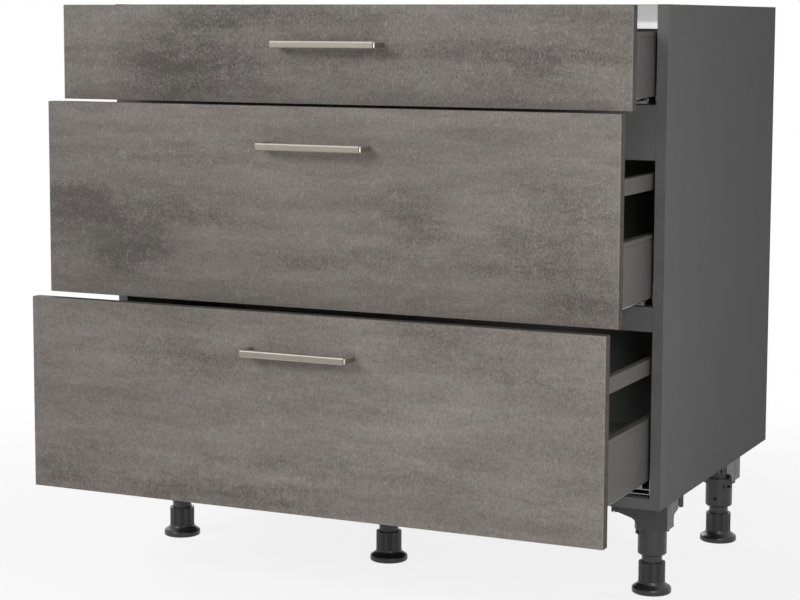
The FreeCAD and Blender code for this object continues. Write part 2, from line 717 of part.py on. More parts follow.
def rounded_bow(half, front, radius):
    """Outline of a bow seen from above: straight back edge at y = 0, two round front corners."""
    turn = radius * (1 - math.sqrt(0.5))
    corner = [FreeCAD.Vector(-half, 0, 0), FreeCAD.Vector(-half, -front + radius, 0),
              FreeCAD.Vector(-half + turn, -front + turn, 0), FreeCAD.Vector(-half + radius, -front, 0),
              FreeCAD.Vector(half - radius, -front, 0), FreeCAD.Vector(half - turn, -front + turn, 0),
              FreeCAD.Vector(half, -front + radius, 0), FreeCAD.Vector(half, 0, 0)]
    edges = [Part.makeLine(corner[0], corner[1]), Part.Arc(corner[1], corner[2], corner[3]).toShape(),
             Part.makeLine(corner[3], corner[4]), Part.Arc(corner[4], corner[5], corner[6]).toShape(),
             Part.makeLine(corner[6], corner[7]), Part.makeLine(corner[7], corner[0])]
    return Part.Face(Part.Wire(edges))


def handle(k):
    """Bow handle: a flat bar with bevelled long edges on two legs, with a threaded hole in each leg."""
    height = handle_bar_height
    bow = rounded_bow(handle_width / 2, handle_projection, handle_corner_radius)
    gap = rounded_bow(handle_width / 2 - handle_leg_width, handle_projection - handle_bar_depth,
                      handle_inner_radius)
    body = bow.extrude(FreeCAD.Vector(0, 0, height))
    body = body.cut(moved(gap.extrude(FreeCAD.Vector(0, 0, height + 2)), 0, 0, -1))
    reach = handle_width / 2 + 1
    bevel = handle_bevel
    front = -handle_projection
    outline = [(1, 0), (front + bevel, 0), (front, bevel), (front, height - bevel), (front + bevel, height),
               (1, height)]
    envelope = prism([(-reach, y, z) for y, z in outline], (2 * reach, 0, 0))
    body = body.common(envelope)
    holes = [rod(handle_thread_radius, handle_thread_depth, (x, 0, height / 2), (0, -1, 0))
             for x in handle_screw_xs()]
    shaped = body.cut(holes)
    return moved(shaped, 0, drawer_y(k) - front_thickness, handle_heights[k] - height / 2)


def handle_screw(k, x):
    """Screw from the recess in the front's back face into a leg of the handle."""
    seat = drawer_y(k) - screw_recess_depth
    length = front_thickness - screw_recess_depth + handle_thread_depth - handle_screw_end_gap
    shank = rod(handle_thread_radius - screw_play, length, (x, seat, handle_heights[k]), (0, -1, 0))
    head = rod(screw_head_radius, screw_head_height, (x, seat, handle_heights[k]), (0, 1, 0))
    return fused([shank, head])


# ---- the pieces, one file for each sub-part ----
os.makedirs("parts", exist_ok=True)

right_panel = side_panel()
write("side_panel_right", [right_panel])
write("side_panel_left", [mirrored(right_panel)])
write("bottom_board", [bottom_board()])
write("back_panel", [back_panel()])
write("top_rail_front", [top_rail()])
write("top_rail_rear", [rear_rail()])
write("cross_rail_upper", [cross_rail(0)])
write("cross_rail_lower", [cross_rail(1)])

right_dowels = [dowel(place, 0) for place in dowel_places()]
write("carcass_dowels", right_dowels + [mirrored(pin) for pin in right_dowels])
right_screws = [rail_screw(spot, 0) for spot in rail_screw_spots()]
write("rail_screws", right_screws + [mirrored(screw) for screw in right_screws])
right_glides = [rail_glide(k) for k in range(3)]
write("rail_glides", right_glides + [mirrored(glide) for glide in right_glides])

socket = foot_socket()
tube = leg_tube()
adjuster = foot_adjuster()
for foot_name, foot in zip(foot_names, feet()):
    write("foot_socket_" + foot_name, [placed(socket, foot)])
    write("foot_adjuster_" + foot_name, [placed(adjuster, foot)])
write("leg_tubes", [placed(tube, foot) for foot in feet()])
screws_of_foot = [socket_screw(spot, 0) for spot in socket_screw_spots]
write("socket_screws", [placed(screw, foot) for foot in feet() for screw in screws_of_foot])

for k in range(3):
    number = str(k + 1)
    rail = cabinet_rail(k)
    write("cabinet_rails_" + number, [rail, mirrored(rail)])
    rail = middle_rail(k)
    write("middle_rails_" + number, [rail, mirrored(rail)])
    rail = drawer_rail(k)
    write("drawer_rails_" + number, [rail, mirrored(rail)])
    write("drawer_front_" + number, [drawer_front(k)])
    side = drawer_side(k)
    write("drawer_side_right_" + number, [side])
    write("drawer_side_left_" + number, [mirrored(side)])
    write("drawer_bottom_" + number, [drawer_bottom(k)])
    write("drawer_back_" + number, [drawer_back(k)])
    bracket = front_bracket(k)
    write("front_brackets_" + number, [bracket, mirrored(bracket)])
    write("handle_" + number, [handle(k)])
    write("handle_screws_" + number, [handle_screw(k, x) for x in handle_screw_xs()])
    if k > 0:
        rail = gallery_rail(k)
        write("gallery_rails_" + number, [rail, mirrored(rail)])
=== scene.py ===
import json
import math

import bmesh
import bpy
from mathutils import Euler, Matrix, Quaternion, Vector


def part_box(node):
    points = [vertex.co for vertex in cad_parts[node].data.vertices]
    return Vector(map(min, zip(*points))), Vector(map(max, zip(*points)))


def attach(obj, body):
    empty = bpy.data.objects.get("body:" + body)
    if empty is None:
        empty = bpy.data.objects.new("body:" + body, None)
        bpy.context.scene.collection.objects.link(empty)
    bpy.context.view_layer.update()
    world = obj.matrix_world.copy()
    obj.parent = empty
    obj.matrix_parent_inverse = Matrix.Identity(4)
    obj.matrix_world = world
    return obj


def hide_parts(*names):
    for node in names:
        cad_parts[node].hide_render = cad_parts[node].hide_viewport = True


# The looks of a kitchen base cabinet with three drawers. The construction comes as a fixed frame:
# its nodes keep their places, and get finishes and softened edges here. The drawers' bow handles
# are meshes of their own. Metres; X to the right, Y to the wall, Z up from the floor.

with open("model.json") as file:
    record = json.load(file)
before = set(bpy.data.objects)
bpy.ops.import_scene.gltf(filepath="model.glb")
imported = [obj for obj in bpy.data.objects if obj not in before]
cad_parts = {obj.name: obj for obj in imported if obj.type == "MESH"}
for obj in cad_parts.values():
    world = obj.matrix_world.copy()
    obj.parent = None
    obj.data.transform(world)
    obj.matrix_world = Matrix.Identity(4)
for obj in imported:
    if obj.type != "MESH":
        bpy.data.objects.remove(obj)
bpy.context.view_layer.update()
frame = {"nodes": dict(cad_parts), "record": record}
nodes = frame["nodes"]
DRAWERS = (1, 2, 3)
X, Y, Z = 0, 1, 2                # axes

# ---- camera ----
CAMERA_PLACE = (1.336, -2.9315, 0.841)
CAMERA_TURN = 24.95             # degrees to the left of straight ahead
CAMERA_TILT = 6.34              # degrees down
CAMERA_ROLL = 0.21              # degrees
CAMERA_LENS = 93.7              # millimetres
CAMERA_SENSOR = 36.0            # millimetres
CAMERA_SHIFT_UP = -0.06         # share of the frame's width
CAMERA_REACH = 100.0

# ---- floor and light ----
WHITE = (1.0, 1.0, 1.0, 1.0)
FLOOR_REACH = 30.0
FLOOR_SHADE = (236, 236, 236)
FLOOR_FADE = (0.6, 1.7)         # distances from the middle between which the floor goes over into white
FLOOR_GLOW = (0.85, 1.0)        # how much of the floor is plain white at those distances
AMBIENT = 0.15                  # strength of the world's own light on the object


# ---- node trees ----
NOISE_MIDDLE = 0.5
NOISE_REACH = (0.3, 0.7)        # most values of a noise lie between these
WIDE_REACH = (0.2, 0.8)
OFFSET_DIRECTION = (1.0, 0.7, 1.3)
SHADE_STOPS = (0.25, 0.75)      # where a finish is darkest and lightest, on a value from 0 to 1


def linear(red, green, blue):
    """A colour given as 8-bit display values, as the shader wants it."""
    channels = [value / 255 for value in (red, green, blue)]
    return tuple(c / 12.92 if c <= 0.04045 else ((c + 0.055) / 1.055) ** 2.4 for c in channels) + (1.0,)


class Nodes:
    """A node tree. Apart from feed, each method adds nodes and returns the last one or its output socket."""

    def __init__(self, tree):
        self.tree = tree

    def feed(self, socket, value):
        """Links a socket to another node's output, or gives it a fixed value."""
        if isinstance(value, bpy.types.NodeSocket):
            self.tree.links.new(value, socket)
        else:
            socket.default_value = value

    def node(self, kind, *inputs, **settings):
        """A new node with its settings made and its first inputs fed."""
        node = self.tree.nodes.new(kind)
        for setting, value in settings.items():
            setattr(node, setting, value)
        for socket, value in zip(node.inputs, inputs):
            self.feed(socket, value)
        return node

    def math(self, operation, first, second=0.0, clamp=False):
        return self.node("ShaderNodeMath", first, second, operation=operation, use_clamp=clamp).outputs[0]

    def total(self, *values):
        result = values[0]
        for value in values[1:]:
            result = self.math("ADD", result, value)
        return result

    def product(self, first, second):
        return self.math("MULTIPLY", first, second)

    def weighed(self, first, second, share):
        """The share of the first value, and the rest of the second."""
        return self.total(self.product(first, share), self.product(second, 1 - share))

    def swing(self, value, amount):
        """A noise's departure from its middle, times the amount."""
        return self.product(self.math("SUBTRACT", value, NOISE_MIDDLE), amount)

    def vector(self, operation, first, second=(0, 0, 0)):
        node = self.node("ShaderNodeVectorMath", first, second, operation=operation)
        return node.outputs["Value" if operation == "LENGTH" else "Vector"]

    def size_along(self, vector, axis):
        """How far a vector reaches along an axis, to either side."""
        return self.math("ABSOLUTE", self.node("ShaderNodeSeparateXYZ", vector).outputs[axis])

    def span(self, value, across, to=(0.0, 1.0), soft=True):
        """The value, as it crosses a range, laid on another range, with soft ends."""
        step = "SMOOTHSTEP" if soft else "LINEAR"
        return self.node("ShaderNodeMapRange", value, *across, *to, interpolation_type=step).outputs[0]

    def between(self, value, rise, fall):
        """1 where the value has passed its rise and not its fall, each of them a soft step."""
        return self.product(self.span(value, rise), self.span(value, fall))

    def ramp(self, value, *stops):
        node = self.node("ShaderNodeValToRGB", value)
        elements = node.color_ramp.elements
        while len(elements) < len(stops):
            elements.new(1.0)
        for element, (position, colour) in zip(elements, stops):
            element.position = position
            element.color = colour
        return node.outputs[0]

    def shades(self, value, colour, spread):
        """The colour, from darker to lighter by the spread, as the value grows."""
        darker = linear(*[channel * (1 - spread) for channel in colour])
        lighter = linear(*[channel * (1 + spread) for channel in colour])
        return self.ramp(value, *zip(SHADE_STOPS, (darker, lighter)))

    def mixed(self, share, first, second, mode="MIX"):
        """Two colours mixed. The node has sockets for numbers before those for colours."""
        node = self.node("ShaderNodeMix", share, data_type="RGBA", blend_type=mode)
        self.feed(node.inputs[6], first)
        self.feed(node.inputs[7], second)
        return node.outputs[2]

    def mix_shader(self, share, first, second):
        return self.node("ShaderNodeMixShader", share, first, second).outputs[0]

    def seen_rays(self):
        """1 for the camera's rays and for those that come through gloss or glass, 0 for light."""
        path = self.node("ShaderNodeLightPath").outputs
        seen = self.total(path["Is Camera Ray"], path["Is Glossy Ray"])
        return self.math("ADD", seen, path["Is Transmission Ray"], clamp=True)


class Recipe(Nodes):
    """One material, worked out from the object's own coordinates and normals."""

    def __init__(self, name):
        self.material = bpy.data.materials.new(name)
        self.material.use_nodes = True
        super().__init__(self.material.node_tree)
        self.tree.nodes.clear()
        self.shader = self.node("ShaderNodeBsdfPrincipled")
        self.output = self.node("ShaderNodeOutputMaterial", self.shader.outputs[0])
        spot = self.node("ShaderNodeTexCoord")
        self.place = spot.outputs["Object"]
        self.normal = spot.outputs["Normal"]

    def set(self, **inputs):
        for name, value in inputs.items():
            self.feed(self.shader.inputs[name.replace("_", " ")], value)

    def noise(self, scale, detail=3.0, roughness=0.5, stretch=(1, 1, 1), offset=0.0, colour=False):
        """Noise with features of about 1/scale metres, pulled out along an axis where stretch is under 1."""
        spot = self.vector("MULTIPLY", self.place, stretch)
        spot = self.vector("ADD", spot, [offset * part for part in OFFSET_DIRECTION])
        node = self.node("ShaderNodeTexNoise")
        self.feed(node.inputs["Vector"], spot)
        node.inputs["Scale"].default_value = scale
        node.inputs["Detail"].default_value = detail
        node.inputs["Roughness"].default_value = roughness
        return node.outputs["Color" if colour else "Fac"]

    def cells(self, scale):
        """A level for each cell of about 1/scale metres."""
        node = self.node("ShaderNodeTexVoronoi", self.place)
        node.inputs["Scale"].default_value = scale
        return self.size_along(node.outputs["Color"], X)

    def facing(self, axis, across=(0.6, 0.8)):
        """1 on faces that look along an axis, to either side, and 0 on the others."""
        return self.span(self.size_along(self.normal, axis), across)

    def roughness(self, value, smooth, rough, across=NOISE_REACH):
        return self.span(value, across, (smooth, rough))

    def relief(self, height, depth):
        """Bump of the given depth in metres; returns the normal."""
        node = self.node("ShaderNodeBump")
        node.inputs["Strength"].default_value = 1.0
        node.inputs["Distance"].default_value = depth
        self.feed(node.inputs["Height"], height)
        return node.outputs[0]


# ---- the drawer fronts' concrete-look decor ----
# Shades from the darkest tone, 0, to the lightest, 1, and a tint that wanders from pink to green.
DECOR_SHADES = ((0.0, (76, 71, 68)), (0.25, (96, 91, 88)), (0.5, (116, 110, 106)), (0.72, (133, 127, 124)),
                (1.0, (156, 149, 145)))
DECOR_TINTS = ((0.36, (1.0, 0.960, 0.972, 1)), (0.56, (0.962, 1.0, 0.945, 1)))
TINT_SHARE = 0.9
DECOR_WEAR = {1: 1.5, 2: 1.35, 3: 1.15}      # how strongly the flecks show on each front

# The tone is a middle one, moved by each layer of noise, by the patches, one of which is a painted handle
# shadow, and by dark and pale flecks.
MIDDLE_TONE = 0.535
CLOUD_SWING = 0.55
DRIFT_SWING = 0.72
MOTTLE_SWING = 0.5              # times the wear, as the three values for flecks are
GRAIN_SWING = 0.85
PATCH_DEPTH = 0.095
FAINT_DEPTH = 0.09
PALE_HEIGHT = 0.13
FLECK_DEPTHS = (0.10, 0.19)     # outside the dark patches and deep in them
DEEP_PATCH = 0.7

# Flecks show where mottle and spots are strong together, and more so in dark patches. Pale ones
# show where scratches are strong and mottle is weak.
FLECK_SWING = 2.1
PATCH_FLECKS = 0.36
SCRATCH_SWING = 2.0
PALE_MOTTLE_SWING = -1.2
FLECK_EDGE = (0.08, 0.42)
FAINT_EDGE = (-0.20, 0.16)
PALE_EDGE = (0.12, 0.42)

# Darker and lighter patches of each front: middle from the front's left and top, half length,
# half height, and strength, which is negative on a lighter patch. The last patch of the top front is a
# painted shadow of its handle.
DECOR_PATCHES_AND_SHADOW = {
    1: ((0.270, 0.012, 0.085, 0.026, 0.75), (0.235, 0.088, 0.120, 0.055, 0.80),
        (0.425, 0.018, 0.110, 0.024, 0.35), (0.760, 0.070, 0.150, 0.018, 0.45),
        (0.150, 0.075, 0.060, 0.040, 0.35), (0.630, 0.030, 0.110, 0.032, -0.30),
        (0.780, 0.022, 0.090, 0.028, -0.45), (0.060, 0.040, 0.070, 0.030, -0.20),
        # painted shadow of the handle, at the top front's handle
        (0.500, 0.070, 0.120, 0.020, 0.35)),
    2: ((0.090, 0.172, 0.140, 0.052, 0.85), (0.125, 0.222, 0.075, 0.042, 0.60),
        (0.040, 0.152, 0.075, 0.030, 0.60), (0.170, 0.080, 0.200, 0.009, 0.40),
        (0.270, 0.160, 0.090, 0.022, 0.50), (0.490, 0.215, 0.215, 0.016, 0.40),
        (0.600, 0.150, 0.055, 0.045, 0.45), (0.820, 0.130, 0.085, 0.050, 0.55),
        (0.770, 0.195, 0.100, 0.035, 0.55), (0.845, 0.245, 0.075, 0.040, 0.60),
        (0.420, 0.105, 0.110, 0.016, -0.30), (0.430, 0.238, 0.110, 0.012, -0.30),
        (0.250, 0.213, 0.070, 0.028, -0.25), (0.580, 0.075, 0.120, 0.030, -0.20)),
    3: ((0.240, 0.070, 0.080, 0.042, 0.45), (0.330, 0.085, 0.055, 0.018, 0.35),
        (0.750, 0.066, 0.125, 0.013, 0.45), (0.645, 0.022, 0.075, 0.025, 0.35),
        (0.390, 0.222, 0.370, 0.014, 0.35), (0.030, 0.258, 0.055, 0.030, 0.50),
        (0.280, 0.268, 0.250, 0.024, 0.60), (0.560, 0.030, 0.060, 0.026, -0.30),
        (0.680, 0.095, 0.060, 0.020, -0.25), (0.800, 0.020, 0.090, 0.018, -0.25),
        (0.770, 0.245, 0.110, 0.020, -0.20)),
}
PATCH_WAVE = (0.17, 0, 0.075)   # how far noise pulls the patches' outlines
PATCH_EDGE = (1.5, 0.15)        # shares of its half sizes, between which a patch comes in

# The banded edges of the fronts, darkened as painted shade, and a painted highlight in a thin strip at both
# ends of their face.
FRONT_FACE = (0.4, 0.6)
FRONT_BANDING_AND_SHADE = (148, 144, 141)
# A lighter strip near both ends of each front's face is a painted highlight of its rounded edges.
HIGHLIGHT_STRIP = (0.0017, 0.0011)    # distances from the board's end, between which it comes in
HIGHLIGHT_STRIP_SHADE = (140, 133, 127)
HIGHLIGHT_STRIP_SHARE = 0.35


def decor_patches_and_shadow(recipe, front, low, high):
    """Sum of the soft patches of one front, with wavy outlines; positive where the decor is darker. One patch
    on the top front is a painted shadow of its handle.
    """
    wave = recipe.noise(20, detail=6, roughness=0.72, stretch=(0.55, 1, 1.2), offset=front, colour=True)
    shift = recipe.vector("MULTIPLY", recipe.vector("SUBTRACT", wave, (NOISE_MIDDLE,) * 3), PATCH_WAVE)
    place = recipe.vector("ADD", recipe.place, shift)
    total = 0.0
    for across, down, half_length, half_height, strength in DECOR_PATCHES_AND_SHADOW[front]:
        middle = (low.x + across, low.y, high.z - down)
        away = recipe.vector("SUBTRACT", place, middle)
        away = recipe.vector("MULTIPLY", away, (1 / half_length, 0, 1 / half_height))
        patch = recipe.span(recipe.vector("LENGTH", away), PATCH_EDGE, (0.0, strength))
        total = recipe.total(patch, total)
    return total


def decor_tone(recipe, front, low, high):
    """The decor's tone from 0 to 1, with a painted handle shadow on the top front, and the mottle and grain
    in it.
    """
    wear = DECOR_WEAR[front]
    patches_and_shadow = decor_patches_and_shadow(recipe, front, low, high)
    dark = recipe.math("MINIMUM", recipe.math("MAXIMUM", patches_and_shadow, 0.0), 1.0)
    clouds = recipe.noise(4.5, detail=2, stretch=(0.5, 1, 1.9), offset=3.1 * front)
    drift = recipe.noise(22, detail=6, roughness=0.76, stretch=(0.3, 1, 1.9), offset=5.7 * front)
    mottle = recipe.noise(70, detail=5, roughness=0.76, stretch=(0.8, 1, 0.95), offset=1.7 * front)
    spots = recipe.noise(330, roughness=0.75, stretch=(1, 1, 0.8), offset=7.3 * front)
    scratches = recipe.noise(210, roughness=0.7, stretch=(1, 1, 0.5), offset=2.9 * front)
    grain = recipe.noise(620, detail=2, roughness=0.8)

    eaten = recipe.total(recipe.swing(mottle, FLECK_SWING), recipe.swing(spots, FLECK_SWING),
                         recipe.product(dark, PATCH_FLECKS))
    worn = recipe.total(recipe.swing(scratches, SCRATCH_SWING), recipe.swing(mottle, PALE_MOTTLE_SWING))
    flecks = recipe.span(eaten, FLECK_EDGE)
    faint = recipe.span(eaten, FAINT_EDGE)
    pale = recipe.span(worn, PALE_EDGE)
    depth = recipe.span(dark, (0.0, DEEP_PATCH), [wear * depth for depth in FLECK_DEPTHS], soft=False)

    tone = recipe.total(recipe.swing(clouds, CLOUD_SWING), MIDDLE_TONE, recipe.swing(drift, DRIFT_SWING),
                        recipe.swing(mottle, MOTTLE_SWING * wear), recipe.swing(grain, GRAIN_SWING),
                        recipe.product(patches_and_shadow, -PATCH_DEPTH), recipe.product(faint, -FAINT_DEPTH * wear),
                        recipe.product(pale, PALE_HEIGHT * wear))
    tone = recipe.math("SUBTRACT", tone, recipe.product(flecks, depth), clamp=True)
    return tone, mottle, grain


def concrete_decor(front):
    """Matt melamine board with a mottled decor that runs crosswise, and banded edges darkened as painted
    shade; the decor also holds a painted handle shadow on the top front and a painted highlight strip at both
    ends of the face.
    """
    recipe = Recipe("front_board_%d" % front)
    low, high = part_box("drawer_front_%d" % front)
    tone, mottle, grain = decor_tone(recipe, front, low, high)
    colour = recipe.ramp(tone, *[(spot, linear(*shade)) for spot, shade in DECOR_SHADES])
    wander = recipe.noise(30, detail=6, roughness=0.78, stretch=(0.4, 1, 1.2), offset=4.4 * front)
    colour = recipe.mixed(TINT_SHARE, colour, recipe.ramp(wander, *DECOR_TINTS), mode="MULTIPLY")

    band = recipe.math("SUBTRACT", 1.0, recipe.facing(Y, FRONT_FACE))
    # The edges are darkened: the edge banding's own colour and painted shade together.
    banding_and_shade = recipe.mixed(1.0, colour, linear(*FRONT_BANDING_AND_SHADE), mode="MULTIPLY")
    colour = recipe.mixed(band, colour, banding_and_shade)
    # Painted highlight: a lighter strip near both ends of the face.
    line = recipe.span(recipe.size_along(recipe.place, X), [high.x - away for away in HIGHLIGHT_STRIP])
    painted_highlight_strip = recipe.product(recipe.product(line, recipe.facing(Y)), HIGHLIGHT_STRIP_SHARE)
    colour = recipe.mixed(painted_highlight_strip, colour, linear(*HIGHLIGHT_STRIP_SHADE))

    recipe.set(Base_Color=colour, Specular_IOR_Level=0.25, Normal=recipe.relief(grain, depth=0.00006),
               Roughness=recipe.roughness(mottle, smooth=0.54, rough=0.66))
    return recipe.material


# ---- the other finishes ----
# Darkening of the board faces that look along Y: edge banding and painted shade.
BOARD_BANDING_AND_SHADE = (208, 208, 208)
ZINC_SHADE = (168, 169, 171)
PALE_COAT_SHADE = (190, 190, 191)
PALE_COAT_PAINTED_SHADE = (156, 156, 156)
UPRIGHT_FACE = (0.985, 0.995)
# Handle colours: satin, polish with painted highlight, and painted shade on the bends.
SATIN_SHADE = (142, 138, 128)
POLISH_AND_HIGHLIGHT_SHADE = (192, 189, 183)
SHADOWED_SHADE = (40, 38, 35)
SHADOWED_SHARE = 0.85
BEECH_SHADE = (192, 152, 108)

# How far the normals of a handle reach up or down on its chamfers, which are polished and carry a painted
# highlight, and to the side on the stretches of its bends with painted shade and painted highlight: where
# each begins and where it ends.
CHAMFER_FACES = ((0.3, 0.6), (0.95, 0.85))
SHADOWED_BEND = ((0.10, 0.22), (0.56, 0.44))
LIT_BEND = ((0.50, 0.62), (0.93, 0.85))


def melamine(name, colour):
    """Plain melamine board with a fine pearl texture; its faces that look along Y, such as the banded front
    edge, are a little darker: edge banding and painted shade.
    """
    recipe = Recipe(name)
    broad = recipe.noise(9, detail=4, roughness=0.6)
    speckle = recipe.noise(900, detail=2, roughness=0.7, stretch=(1, 1, 0.7))
    pearl = recipe.noise(420, detail=2, offset=2.0)
    board = recipe.shades(recipe.weighed(broad, speckle, share=0.6), colour, spread=0.05)
    banding_and_shade = recipe.mixed(1.0, board, linear(*BOARD_BANDING_AND_SHADE), mode="MULTIPLY")
    recipe.set(Base_Color=recipe.mixed(recipe.facing(Y), board, banding_and_shade), Specular_IOR_Level=0.02,
               Roughness=recipe.roughness(broad, smooth=0.62, rough=0.70),
               Normal=recipe.relief(pearl, depth=0.00005))
    return recipe.material


def powder_coat(name, colour):
    """Satin powder coat on steel: fine orange peel and a faint sparkle."""
    recipe = Recipe(name)
    peel = recipe.noise(520, detail=2, roughness=0.45)
    broad = recipe.noise(14)
    sparkle = recipe.noise(2400, detail=1, offset=3.0)
    tone = recipe.weighed(broad, sparkle, share=0.5)
    recipe.set(Base_Color=recipe.shades(tone, colour, spread=0.05), Specular_IOR_Level=0.12,
               Roughness=recipe.roughness(peel, smooth=0.45, rough=0.55),
               Normal=recipe.relief(peel, depth=0.00005))
    return recipe.material


def zinc_plate(name):
    """Bright zinc plating with faint spangle and rolling marks along the rails."""
    recipe = Recipe(name)
    spangle = recipe.cells(260)
    lines = recipe.noise(700, roughness=0.6, stretch=(1, 0.03, 1))
    tone = recipe.weighed(spangle, lines, share=0.35)
    recipe.set(Base_Color=recipe.shades(tone, ZINC_SHADE, spread=0.08), Metallic=1.0,
               Roughness=recipe.roughness(tone, smooth=0.20, rough=0.32, across=WIDE_REACH),
               Normal=recipe.relief(lines, depth=0.00002))
    return recipe.material


def pale_coat(name):
    """Pale grey coat on the folded steel rail at the top front, darker on its upright face as painted shade.
    """
    recipe = Recipe(name)
    broad = recipe.noise(12)
    peel = recipe.noise(600, detail=2)
    flat = recipe.shades(broad, PALE_COAT_SHADE, spread=0.02)
    # Painted shade: the upright face gets a darker copy of the coat.
    painted_shade_upright = recipe.shades(broad, PALE_COAT_PAINTED_SHADE, spread=0.02)
    recipe.set(Base_Color=recipe.mixed(recipe.facing(Y, UPRIGHT_FACE), flat, painted_shade_upright), Metallic=0.45,
               Roughness=recipe.roughness(peel, smooth=0.46, rough=0.56),
               Normal=recipe.relief(peel, depth=0.00003))
    return recipe.material


def brushed_nickel(name):
    """Satin nickel, brushed along the bar, with polished chamfers that carry a painted highlight, and a
    painted shade and a painted highlight on each bend.
    """
    recipe = Recipe(name)
    strokes = recipe.noise(1500, roughness=0.65, stretch=(0.02, 1, 1))
    tone = recipe.weighed(strokes, recipe.noise(30, detail=2), share=0.7)
    satin = recipe.shades(tone, SATIN_SHADE, spread=0.05)
    polish_and_highlight = recipe.shades(tone, POLISH_AND_HIGHLIGHT_SHADE, spread=0.03)
    side = recipe.size_along(recipe.normal, X)
    chamfer = recipe.between(recipe.size_along(recipe.normal, Z), *CHAMFER_FACES)
    # Painted highlight on the chamfers and on one stretch of each bend, painted shade on another.
    painted_highlight_mask = recipe.math("MAXIMUM", chamfer, recipe.between(side, *LIT_BEND))
    shadowed = recipe.product(recipe.between(side, *SHADOWED_BEND), SHADOWED_SHARE)
    metal = recipe.mixed(painted_highlight_mask, satin, polish_and_highlight)
    metal = recipe.mixed(shadowed, metal, linear(*SHADOWED_SHADE))
    recipe.set(Base_Color=metal, Metallic=0.85, Anisotropic=0.4,
               Roughness=recipe.roughness(strokes, smooth=0.36, rough=0.46),
               Normal=recipe.relief(strokes, depth=0.00002))
    return recipe.material


def moulded_plastic(name, colour, smooth, rough):
    """Moulded plastic: fine spark-eroded grain and slight scuffs."""
    recipe = Recipe(name)
    grain = recipe.noise(1100, detail=2, roughness=0.6)
    scuffs = recipe.noise(60, detail=5, roughness=0.7)
    tone = recipe.weighed(grain, scuffs, share=0.4)
    recipe.set(Base_Color=recipe.shades(tone, colour, spread=0.12),
               Roughness=recipe.roughness(scuffs, smooth, rough), Normal=recipe.relief(grain, depth=0.00006))
    return recipe.material


def beech(name):
    """Fluted beech dowels."""
    recipe = Recipe(name)
    fibres = recipe.noise(900, detail=4, roughness=0.6, stretch=(0.05, 1, 1))
    recipe.set(Base_Color=recipe.shades(fibres, BEECH_SHADE, spread=0.12),
               Roughness=recipe.roughness(fibres, smooth=0.6, rough=0.75),
               Normal=recipe.relief(fibres, depth=0.0001))
    return recipe.material


FINISHES = {
    "carcass_board": melamine("carcass_board_grey", (125, 124, 124)),
    "back_board": melamine("back_board_grey", (146, 145, 144)),
    "drawer_board": melamine("drawer_board_grey", (150, 149, 148)),
    "grey_steel": powder_coat("grey_steel_coat", (104, 102, 100)),
    "pale_steel": pale_coat("pale_steel_coat"),
    "zinc_steel": zinc_plate("zinc_steel_plate"),
    "satin_nickel": brushed_nickel("satin_nickel_brushed"),
    "black_plastic": moulded_plastic("black_plastic_moulded", (54, 54, 54), smooth=0.31, rough=0.45),
    # White nylon, given a mid grey as painted shade.
    "white_nylon": moulded_plastic("white_nylon_in_painted_shade", (132, 132, 130), smooth=0.33, rough=0.47),
    "dowel_wood": beech("dowel_wood_beech"),
}
ADJUSTER_PLASTIC = moulded_plastic("black_plastic_adjuster", (44, 44, 44), smooth=0.25, rough=0.39)


# ---- softened edges ----
WELD_REACH = 0.00001
NODE_EDGE_ANGLE = 40            # degrees; edges that turn more than this are rounded
HANDLE_EDGE_ANGLE = 30
HANDLE_SOFTNESS = 0.00035
BEVEL_STEPS = 2
EDGE_SOFTNESS = {"carcass_board": 0.0004, "back_board": 0.0003, "drawer_board": 0.0004,
                 "grey_steel": 0.0004, "pale_steel": 0.0003, "zinc_steel": 0.0002,
                 "black_plastic": 0.0004, "white_nylon": 0.0003}


def soften(piece, width, angle):
    """Rounds a piece's sharp edges and smooths its shading."""
    bevel = piece.modifiers.new("bevel", "BEVEL")
    bevel.width = width
    bevel.segments = BEVEL_STEPS
    bevel.limit_method = "ANGLE"
    bevel.angle_limit = math.radians(angle)
    piece.modifiers.new("smooth", "WEIGHTED_NORMAL")


# ---- the frame's own pieces ----
def finish_of(name, slot):
    """The material of a node. Each front has its own, and the feet's adjusters are glossier than the rest."""
    if name.startswith("drawer_front_"):
        return concrete_decor(int(name[-1]))
    if name.startswith("foot_adjuster"):
        return ADJUSTER_PLASTIC
    return FINISHES[slot]


def dress_nodes():
    """Gives each node its finish, and joins its facets and softens its edges where its slot says so."""
    slot_of = {part["node"]: part["material_slot"] for part in frame["record"]["subparts"]}
    for name, node in nodes.items():
        slot = slot_of[name]
        node.material_slots[0].material = finish_of(name, slot)
        if slot in EDGE_SOFTNESS:
            weld = node.modifiers.new("weld", "WELD")
            weld.merge_threshold = WELD_REACH
            soften(node, EDGE_SOFTNESS[slot], NODE_EDGE_ANGLE)


dress_nodes()


# ---- the drawers' bow handles ----
HANDLE_BAR_DEPTH = 0.0085
HANDLE_LEG_WIDTH = 0.0080
HANDLE_OUTER_ROUND = 0.0036
HANDLE_INNER_ROUND = 0.0020
HANDLE_CHAMFER = 0.0014
CORNER_STEPS = 10


def bow_path(half, out, corner):
    """Points (x, distance from the front) along one side of the bow, from its left foot to its right foot."""
    points = [(-half, 0.0)]
    for step in range(CORNER_STEPS + 1):
        turn = math.radians(180 - 90 * step / CORNER_STEPS)
        points.append((-half + corner + corner * math.cos(turn), out - corner + corner * math.sin(turn)))
    return points + [(-x, away) for x, away in reversed(points)]


